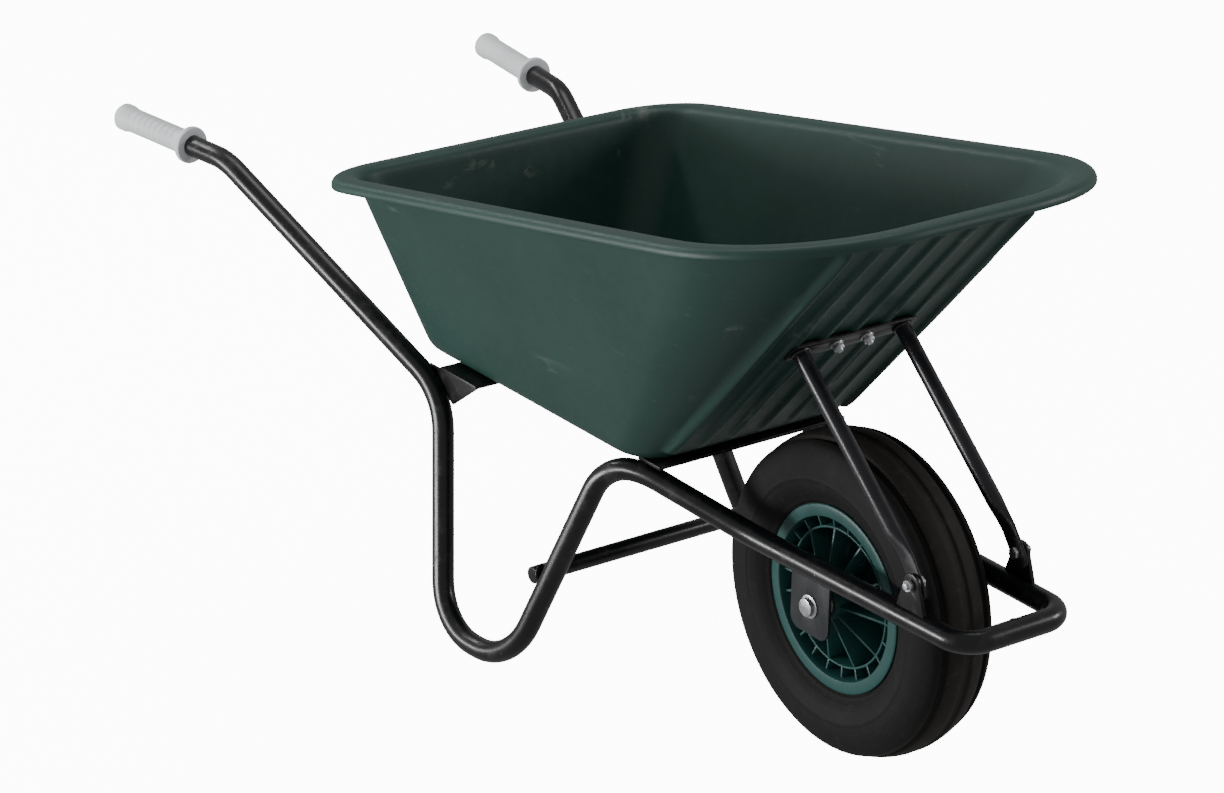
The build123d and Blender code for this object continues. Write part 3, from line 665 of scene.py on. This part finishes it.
class BARROW_OT_tray(bpy.types.Operator):
    """Model the moulded tray with its rolled rim and ribbed nose"""

    bl_idname = "barrow.tray"
    bl_label = "Tray"
    bl_options = {"REGISTER", "UNDO"}

    def outline(self, ring, rim_side, front, rear, half, corners, drop):
        """A rounded rectangle in the plane of the base or of the rim, marked with its ring number."""
        slope = RIM_SLOPE if rim_side else 0
        origin = at(RIM_FRONT[0], 0, RIM_FRONT[1]) if rim_side else Vector((AXLE.x, 0, 0))
        along = Vector((math.cos(slope), 0, math.sin(slope)))
        lift = Vector((-math.sin(slope), 0, math.cos(slope)))
        release()
        bpy.ops.mesh.primitive_plane_add(
            size=1, location=origin + along * (front + rear) / 2 + lift * drop, rotation=(0, -slope, 0)
        )
        piece = newest(f"outline_{ring}")
        piece.scale = (front - rear, 2 * half, 1)
        place(piece)
        centre_x = sum(v.co.x for v in piece.data.vertices) / 4
        with editing(piece):
            for at_front, corner in ((True, corners[0]), (False, corners[1])):
                pick(piece, "VERT", lambda v: (v.co.x > centre_x) == at_front)
                bpy.ops.mesh.bevel(
                    offset=corner, offset_type="OFFSET", segments=CORNER_STEPS, affect="VERTICES",
                    clamp_overlap=False,
                )
            pick(piece, "EDGE", lambda e: e.calc_length() > 0.09)
            bpy.ops.mesh.subdivide(number_cuts=11)
        marks = piece.data.attributes.new("ring", "INT", "POINT")
        marks.data.foreach_set("value", [ring] * len(piece.data.vertices))
        return piece

    def pick_ring(self, piece, *rings):
        """Select the edges of some outlines."""
        layer = bmesh.from_edit_mesh(piece.data).verts.layers.int["ring"]
        pick(piece, "EDGE", lambda e: e.verts[0][layer] == e.verts[1][layer]
             and e.verts[0][layer] in rings)

    def ribs(self, piece, sizes):
        """Cut the nose into strips, raise them, and raise the outermost further."""
        foot = at(BASE_FRONT, 0, sizes.base_height / MM)
        top, run, out = nose_line(foot, sizes.overhang)
        reach = (sizes.rib_count - 1) / 2 * sizes.rib_pitch + sizes.rib_width / 2
        low, high = RIB_FOOT * MM, (top - foot).length - RIB_HEAD * MM
        centres = [(k - (sizes.rib_count - 1) / 2) * sizes.rib_pitch for k in range(sizes.rib_count)]

        def on_nose(face):
            offset = middle(face) - foot
            near = abs(offset.dot(out)) < 16 * MM and abs(offset.y) < reach + 20 * MM
            return near and face.normal.dot(out) > 0.8

        half = sizes.rib_width / 2
        cuts = [(Vector((0, c + side * half, 0)), ACROSS) for c in centres for side in (-1, 1)]
        cuts += [(foot + run * share, run) for share in (low, high)]
        for point, normal in cuts:
            pick(piece, "FACE", on_nose)
            bpy.ops.mesh.bisect(plane_co=point, plane_no=normal, threshold=0.00001)

        def on_rib(face):
            offset = middle(face) - foot
            beside = min(abs(offset.y - c) for c in centres)
            return on_nose(face) and beside < sizes.rib_width / 2 and low < offset.dot(run) < high

        pick(piece, "FACE", on_rib)
        bpy.ops.mesh.inset(thickness=RIB_SLOPE * MM, depth=0, use_even_offset=False)
        bpy.ops.transform.translate(value=out * sizes.rib_height)
        pick(piece, "FACE", lambda f: abs(middle(f).y) > reach - sizes.rib_width and on_rib(f)
             and (middle(f) - foot).dot(out) > -0.004 and abs(abs(middle(f).y) - centres[-1]) < 0.0045)
        bpy.ops.transform.translate(value=out * OUTER_RIB_LIFT * MM)

    def execute(self, context):
        """Model the tray."""
        sizes = context.scene.barrow_tray
        base = self.outline(
            0, False, BASE_FRONT * MM, BASE_REAR * MM, sizes.base_half, [c * MM for c in BASE_CORNERS],
            sizes.base_height,
        )
        rings = [base]
        wall = sizes.wall
        levels = ((sizes.overhang + 1.5 * MM, -wall), (wall, -wall), (wall, -sizes.skirt))
        for number, (inset, drop) in enumerate(levels, 1):
            rings.append(self.outline(
                number, True, -inset, inset - RIM_LENGTH * MM, sizes.rim_half - inset,
                [c * MM - inset for c in RIM_CORNERS], drop,
            ))
        tray = merge("tray_shell", rings)
        with editing(tray):
            layer = bmesh.from_edit_mesh(tray.data).verts.layers.int["ring"]
            pick(tray, "FACE", lambda f: f.verts[0][layer] > 0)
            bpy.ops.mesh.delete(type="ONLY_FACE")
            for lower in range(len(rings) - 1):
                self.pick_ring(tray, lower, lower + 1)
                bpy.ops.mesh.bridge_edge_loops()
            for ring, offset in ((2, 5.5 * MM), (1, 9 * MM), (0, 20 * MM)):
                self.pick_ring(tray, ring)
                bpy.ops.mesh.bevel(offset=offset, offset_type="OFFSET", segments=4, affect="EDGES",
                                   clamp_overlap=False)
            pick(tray, "EDGE", lambda e: e.calc_length() > 0.15
                 and abs(e.verts[0].co.z - e.verts[1].co.z) > 0.1)
            bpy.ops.mesh.subdivide(number_cuts=13)
            outward()
            if next(f for f in bmesh.from_edit_mesh(tray.data).faces if len(f.verts) > 40).normal.z > 0:
                bpy.ops.mesh.flip_normals()
            self.ribs(tray, sizes)
        modify(tray, "SOLIDIFY", thickness=sizes.wall, offset=-1, use_even_offset=False)
        modify(tray, "SUBSURF", levels=1, render_levels=1)
        smooth(tray, 60)
        finish_piece(tray, "chassis", "tray_plastic", "tray", "tray")
        return {"FINISHED"}


class BARROW_OT_frame_tube(bpy.types.Operator):
    """Bend the frame: one run of tube from grip to grip"""

    bl_idname = "barrow.frame_tube"
    bl_label = "Frame tube"
    bl_options = {"REGISTER", "UNDO"}

    def execute(self, context):
        """Model the frame tube, its stay and its welds."""
        sizes = context.scene.barrow_frame
        right = [at(f, -s, h) for f, s, h in ROUTE]
        left = [at(f, s, h) for f, s, h in reversed(ROUTE)]
        radii = [r * MM for r in BEND_RADII]
        tube = bent_tube("frame_tube", right + left, radii + radii[::-1], sizes.tube, 40)
        smooth(tube, 60)
        finish_piece(tube, "chassis", "frame_paint", "frame",
                     "frame_tube_right", "frame_tube_left")
        low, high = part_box("leg_stay")
        middle_line = (low + high) / 2
        ends = [Vector((middle_line.x, y, middle_line.z)) for y in (low.y, high.y)]
        stay = bent_tube("leg_stay_tube", ends, [], sizes.stay, 32)
        soften(stay, 1.2 * MM, 3)
        smooth(stay, 40)
        finish_piece(stay, "chassis", "frame_paint", "frame", "leg_stay")
        front, height = FRONT_BAR
        beads = [weld_bead(
            "weld_front_bar", at(front - BAR_WELD_SET_IN, 0, height), ACROSS,
            sizes.tube - BAR_WELD_SET_IN * MM, sizes.bead * 0.6,
        )]
        for hand, side in SIDES:
            touch = middle_line + Vector((sizes.stay * 0.82, side * (high.y - 10 * MM), sizes.stay * 0.25))
            beads.append(weld_bead(
                f"weld_stay_{hand}", touch, (0.95, 0, 0.28), STAY_WELD_RADIUS * MM, sizes.bead, 1.15
            ))
        for bead in beads:
            finish_piece(bead, "chassis", "frame_paint", "frame")
        return {"FINISHED"}


class BARROW_OT_grips(bpy.types.Operator):
    """Turn the two handle grips with their flanges, grooves and bulged ends"""

    bl_idname = "barrow.grips"
    bl_label = "Grips"
    bl_options = {"REGISTER", "UNDO"}

    def execute(self, context):
        """Model both grips."""
        sizes = context.scene.barrow_grips
        body, end, flange, total = (v / MM for v in (sizes.body, sizes.end, sizes.flange, sizes.length))
        depth = sizes.groove / MM
        profile = [(1.2, 0), (1.2, 4), (0, 5), (0, end - 5), (1.4, end - 1.8), (4.2, end), (13, end),
                   (18, end - 0.9), (22, body)]
        for number in range(sizes.grooves):
            start = 30 + number * 11.5
            profile += [(start, body), (start + 1.4, body - depth * 0.8), (start + 3, body - depth),
                        (start + 4.6, body - depth * 0.8), (start + 6, body)]
        profile += [(total - 14, body), (total - 11, body + 1.5), (total - 9, flange - 3),
                    (total - 8.6, flange - 1), (total - 6.5, flange), (total - 2.5, flange),
                    (total - 0.6, flange - 1), (total, flange - 3), (total, 14.2), (total - 6, 14.05),
                    (8, 14.05), (8, 0)]
        for hand, side in SIDES:
            tip = at(GRIP_TIP[0], side * GRIP_TIP[1], GRIP_TIP[2])
            forward, out, height = ROUTE[1]
            run = at(forward, side * out, height) - tip
            grip = turned(f"grip_cover_{hand}", profile, tip, run, 48)
            smooth(grip, 45)
            finish_piece(grip, "chassis", "grip_plastic", "grip", f"grip_{hand}")
        return {"FINISHED"}


class BARROW_OT_rim(bpy.types.Operator):
    """Model the dished rim: barrel, flanges, web, hub and its rings of cells"""

    bl_idname = "barrow.rim"
    bl_label = "Wheel rim"
    bl_options = {"REGISTER", "UNDO"}

    def rib(self, name, inner, outer, inner_half, outer_half, thickness):
        """One rib across the wheel, wider at its inner end."""
        release()
        bpy.ops.mesh.primitive_cube_add(size=1, location=AXLE + Vector(((inner + outer) / 2, 0, 0)) * MM)
        piece = newest(name)
        piece.scale = ((outer - inner) * MM, 2 * outer_half * MM, thickness * MM)
        place(piece)
        with editing(piece):
            pick(piece, "FACE", lambda f: f.normal.x < -0.9)
            bpy.ops.transform.resize(value=(1, inner_half / outer_half, 1), center_override=AXLE)
            pick(piece, "EDGE", lambda e: abs(e.verts[0].co.y - e.verts[1].co.y) < 0.02)
            bpy.ops.mesh.bevel(offset=0.9 * MM, segments=2, affect="EDGES")
        return piece

    def ring_of(self, piece, number):
        """Copies of a piece all round the axle, in its own mesh."""
        with editing(piece):
            bpy.ops.mesh.select_all(action="SELECT")
            bpy.ops.mesh.spin(
                steps=number - 1, dupli=True, angle=2 * math.pi * (number - 1) / number,
                center=AXLE, axis=ACROSS,
            )

    def execute(self, context):
        """Model the rim."""
        sizes = context.scene.barrow_wheel
        half = sizes.rim_half / MM
        sections = {
            "barrel": [(-half, 101), (-half, 112), (-half + 0.6, 115.4), (-half + 2, 116.5),
                       (-half + 3.6, 115.5), (-half + 4, 113), (-half + 4, 107.5), (-half + 6, 105),
                       (half - 6, 105), (half - 4, 107.5), (half - 4, 113), (half - 3.6, 115.5),
                       (half - 2, 116.5), (half - 0.6, 115.4), (half, 112), (half, 101),
                       (half - 7, 99.5), (0, 100.5), (-half + 7, 99.5)],
            "cell_ring": [(-31, 84.6), (-31, 87.4), (0, 88.2), (31, 87.4), (31, 84.6), (0, 83.8)],
            "web": [(-2.5, 18), (-2.5, 101), (2.5, 101), (2.5, 18)],
            "hub": [(-52, 14.1), (-52, 22.5), (-8, 25), (8, 25), (52, 22.5), (52, 14.1)],
        }
        parts = []
        for name, profile in sections.items():
            part = turned(name, profile, AXLE, ACROSS, 96, True)
            soften(part, 0.9 * MM, 3, 40)
            parts.append(part)
        outer = self.rib("outer_rib", 85.5, 101.5, 31, 33, 3)
        self.ring_of(outer, sizes.cells)
        inner = self.rib("inner_rib", 22.5, 86, 47, 31, 3.2)
        self.ring_of(inner, sizes.spokes)
        rim = merge("wheel_moulding", [*parts, outer, inner])
        smooth(rim, 35)
        finish_piece(rim, "wheel", "rim_plastic", "rim",
                     "wheel_rim", "wheel_hub", "wheel_web", "wheel_cell_rings",
                     "wheel_outer_ribs", "wheel_inner_ribs")
        return {"FINISHED"}


class BARROW_OT_tyre(bpy.types.Operator):
    """Turn the tyre with its beads, bulged walls and grooved shoulders"""

    bl_idname = "barrow.tyre"
    bl_label = "Tyre"
    bl_options = {"REGISTER", "UNDO"}

    def execute(self, context):
        """Model the tyre."""
        sizes = context.scene.barrow_wheel
        wide, top = sizes.half_width / MM - 54, sizes.radius / MM - 200
        outside = [
            (36, 105.2), (36, 112), (36.2, 116.8), (37.6, 118.4), (39.4, 119.4), (40.4, 121.6),
            (42.8, 124.6), (46.6, 129.5), (50.2, 136), (52.6, 143), (53.4, 147.4), (54, 148.6),
            (54, 150.4), (53.6, 151.6), (53.8, 156), (53.2, 163), (51.8, 170), (49.6, 177),
            (46.6, 183.4), (44.4, 186.8), (42.6, 188.9), (40.4, 190.4), (37.4, 191.6), (35.2, 192.2),
            (34.4, 191.6), (33.6, 189.6), (32.4, 189), (29.6, 189.6), (27.8, 190.2), (26.8, 191.6),
            (26.2, 194.4), (25.2, 195.6), (21, 197), (16, 198.2), (11, 199.1), (7.4, 199.5),
            (6.2, 199.2), (5.2, 197.6), (4, 197.2),
        ]
        outside = [(y + (wide if r > 118 else 0), r + (top if r > 118 else 0)) for y, r in outside]
        inside = [(24, 105.2), (29, 117), (41, 130), (46.6, 148), (45, 166), (38, 180), (20, 186.5)]
        half = outside + [(0, outside[-1][1])]
        profile = [(-y, r) for y, r in half] + [(y, r) for y, r in outside[::-1]]
        profile += inside + [(0, 188)] + [(-y, r) for y, r in inside[::-1]]
        tyre = turned("tyre_cover", profile, AXLE, ACROSS, 144, True)
        smooth(tyre, 50)
        finish_piece(tyre, "wheel", "tyre_rubber", "tyre", "tyre")
        return {"FINISHED"}


class BARROW_OT_braces(bpy.types.Operator):
    """Model the two nose braces: round tube pressed flat at the foot"""

    bl_idname = "barrow.braces"
    bl_label = "Nose braces"
    bl_options = {"REGISTER", "UNDO"}

    def execute(self, context):
        """Model both braces."""
        scene = context.scene
        sizes = scene.barrow_frame
        foot = at(BASE_FRONT, 0, BASE_HEIGHT)
        run, out = nose_line(foot, scene.barrow_tray.overhang)[1:]
        head = foot + run * (STRIP_HEIGHT - BASE_HEIGHT) * MM / run.z + out * STRIP_STAND_OFF * MM
        flat = BRACE_FLAT
        for hand, side in SIDES:
            start = head + ACROSS * side * BRACE_HALF_SPACING * MM
            knee = start + out * BRACE_LENGTH * MM
            stations = [
                (start, out, 1, 1), (start + out * 236 * MM, out, 1, 1),
                (start + out * 247 * MM, out, 0.82, 1.08),
                (start + out * 259 * MM, (out * 2 + flat).normalized(), 0.52, 1.20),
                (knee + flat * 2 * MM, (out + flat * 2).normalized(), 0.34, 1.28),
                (knee + flat * 10 * MM, flat, 0.30, 1.30), (knee + flat * 40 * MM, flat, 0.30, 1.30),
                (knee + flat * 46 * MM, flat, 0.30, 1.14), (knee + flat * 50 * MM, flat, 0.29, 0.82),
                (knee + flat * 52 * MM, flat, 0.26, 0.40),
            ]
            rings = []
            for number, (centre, heading, thin, wide) in enumerate(stations):
                release()
                bpy.ops.mesh.primitive_circle_add(
                    vertices=BRACE_SIDES, radius=sizes.brace, fill_type="NOTHING"
                )
                ring = newest(f"brace_ring_{number}")
                up = heading.cross(ACROSS)
                turn = Matrix((ACROSS, up, heading)).transposed().to_4x4()
                ring.matrix_world = Matrix.Translation(centre) @ turn @ Matrix.Diagonal((thin, wide, 1, 1))
                place(ring)
                marks = ring.data.attributes.new("ring", "INT", "POINT")
                marks.data.foreach_set("value", [number] * BRACE_SIDES)
                rings.append(ring)
            brace = merge(f"brace_tube_{hand}", rings)
            with editing(brace):
                for number in range(len(stations) - 1):
                    layer = bmesh.from_edit_mesh(brace.data).verts.layers.int["ring"]
                    pick(brace, "EDGE", lambda e: e.verts[0][layer] == e.verts[1][layer]
                         and e.verts[0][layer] in (number, number + 1))
                    bpy.ops.mesh.bridge_edge_loops()
                pick(brace, "EDGE", lambda e: e.is_boundary)
                bpy.ops.mesh.edge_face_add()
                outward()
            smooth(brace, 50)
            finish_piece(brace, "chassis", "frame_paint", "brace", f"nose_brace_{hand}")
            bead = weld_bead(
                f"weld_brace_{hand}", start + out * 1.2 * MM, out, sizes.brace + 0.6 * MM, sizes.bead
            )
            finish_piece(bead, "chassis", "frame_paint", "brace")
        return {"FINISHED"}


class BARROW_OT_fittings(bpy.types.Operator):
    """Finish the plates, straps, axle parts and fasteners: joined faces and rounded edges"""

    bl_idname = "barrow.fittings"
    bl_label = "Plates and fittings"
    bl_options = {"REGISTER", "UNDO"}

    def execute(self, context):
        """Refine every other CAD node."""
        edge = context.scene.barrow_frame.edge
        both = [hand for hand, _ in SIDES]
        table = (
            (("rear_bearer", "front_bearer", "nose_strip", *(f"gusset_{hand}" for hand in both)),
             "chassis", "bracket_paint", "bracket", edge),
            ([f"brace_lug_{hand}" for hand in both], "chassis", "frame_paint", "frame", edge),
            ([f"axle_plate_{hand}" for hand in both], "chassis", "plate_paint", "plate", edge),
            (("axle", "axle_washers", "axle_spacers"), "chassis", "zinc", "zinc", 0.3 * MM),
            (("axle_caps", "brace_bolts", "brace_nuts", "tray_bolts", "tray_nuts"), "chassis", "zinc", "zinc",
             0.6 * MM),
            (("tray_washers",), "chassis", "zinc", "zinc", 0.2 * MM),
            (("frame_joint_sleeve",), "chassis", "bare_steel", "steel", 0),
            ([f"hub_bush_{hand}" for hand in both], "wheel", "bush_plastic", "bush", 0.5 * MM),
            (("inner_tube",), "wheel", "tube_rubber", "tube", 0),
            (("valve_stem",), "wheel", "brass", "brass", 0.3 * MM),
            (("valve_cap",), "wheel", "cap_plastic", "cap", 0.5 * MM),
        )
        for nodes, body, slot, finish, width in table:
            for node in nodes:
                piece = refined(node, width)
                finish_piece(piece, body, slot, finish, node)
        return {"FINISHED"}


class BARROW_OT_stage(bpy.types.Operator):
    """Set the plain pale floor, the soft lights and the camera"""

    bl_idname = "barrow.stage"
    bl_label = "Stage"
    bl_options = {"REGISTER", "UNDO"}

    def light(self, name, place_at, aim, size, power):
        """A large soft light."""
        data = bpy.data.lights.new(name, "AREA")
        data.shape = "RECTANGLE"
        data.size, data.size_y = size
        data.energy = power
        lamp = bpy.data.objects.new(name, data)
        lamp.location = place_at
        lamp.rotation_euler = (Vector(aim) - Vector(place_at)).to_track_quat("-Z", "Y").to_euler()
        bpy.context.scene.collection.objects.link(lamp)

    def execute(self, context):
        """Set the stage."""
        scene = context.scene
        sizes = scene.barrow_stage
        release()
        bpy.ops.mesh.primitive_circle_add(vertices=96, radius=14, fill_type="NGON", location=(0, 0, 0))
        floor = newest("floor")
        place(floor)
        paper = Finish("pale_floor", 0.8, Emission_Color=(1, 1, 1, 1), Emission_Strength=sizes.glow)
        speck = paper.noise(3, 3).band(0.3, 0.7)
        paper.put("Base Color", paper.mix(speck, shade(sizes.floor, 0.985), sizes.floor[:]))
        floor.data.materials.append(paper.material)
        floor.visible_diffuse = floor.visible_glossy = False
        world = bpy.data.worlds.new("surround")
        world.use_nodes = True
        backdrop = next(n for n in world.node_tree.nodes if n.type == "BACKGROUND")
        backdrop.inputs["Color"].default_value = (1, 1, 1, 1)
        backdrop.inputs["Strength"].default_value = sizes.surround
        scene.world = world
        self.light("side_light", (-1.4, -3.3, 0.35), (-0.1, 0, 0.5), (2.2, 0.6), 118)
        self.light("top_light", (-0.6, 0.4, 3.6), (0, 0, 0.4), (2.6, 1.2), 34)
        self.light("rim_light", (-2.6, -1.0, 2.3), (-0.2, -0.2, 0.6), (1.4, 0.3), 22)
        self.light("rear_light", (2.2, 2.8, 1.8), (0.2, 0, 0.5), (1.2, 0.8), 34)
        data = bpy.data.cameras.new("camera")
        data.sensor_width = 36
        data.lens = sizes.lens
        camera = bpy.data.objects.new("camera", data)
        camera.location = sizes.camera_at
        camera.rotation_euler = sizes.camera_turn
        scene.collection.objects.link(camera)
        scene.camera = camera
        return {"FINISHED"}


class BARROW_PT_panel(bpy.types.Panel):
    """The barrow's pieces, in the sidebar"""

    bl_idname = "BARROW_PT_panel"
    bl_label = "Wheelbarrow"
    bl_space_type = "VIEW_3D"
    bl_region_type = "UI"
    bl_category = "Barrow"

    def draw(self, context):
        """List the settings and the operators."""
        for group in GROUPS:
            settings = getattr(context.scene, group)
            box = self.layout.box()
            for key in settings.bl_rna.properties.keys():
                if key not in ("rna_type", "name"):
                    box.prop(settings, key)
        for operator in OPERATORS:
            self.layout.operator(operator.bl_idname)


GROUPS = {
    "barrow_tray": BarrowTray, "barrow_frame": BarrowFrame, "barrow_grips": BarrowGrips,
    "barrow_wheel": BarrowWheel, "barrow_finish": BarrowFinish, "barrow_stage": BarrowStage,
}
OPERATORS = (
    BARROW_OT_stage, BARROW_OT_finishes, BARROW_OT_tray, BARROW_OT_frame_tube, BARROW_OT_grips, BARROW_OT_rim,
    BARROW_OT_tyre, BARROW_OT_braces, BARROW_OT_fittings,
)
CLASSES = (*GROUPS.values(), *OPERATORS, BARROW_PT_panel)


def register():
    """Register the classes and the scene's settings."""
    for item in CLASSES:
        bpy.utils.register_class(item)
    for name, group in GROUPS.items():
        setattr(bpy.types.Scene, name, PointerProperty(type=group))


def unregister():
    """Undo register."""
    for name in GROUPS:
        delattr(bpy.types.Scene, name)
    for item in reversed(CLASSES):
        bpy.utils.unregister_class(item)


def main():
    """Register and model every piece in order."""
    register()
    for operator in OPERATORS:
        getattr(bpy.ops.barrow, operator.bl_idname.split(".")[1])()


if __name__ == "__main__":
    main()
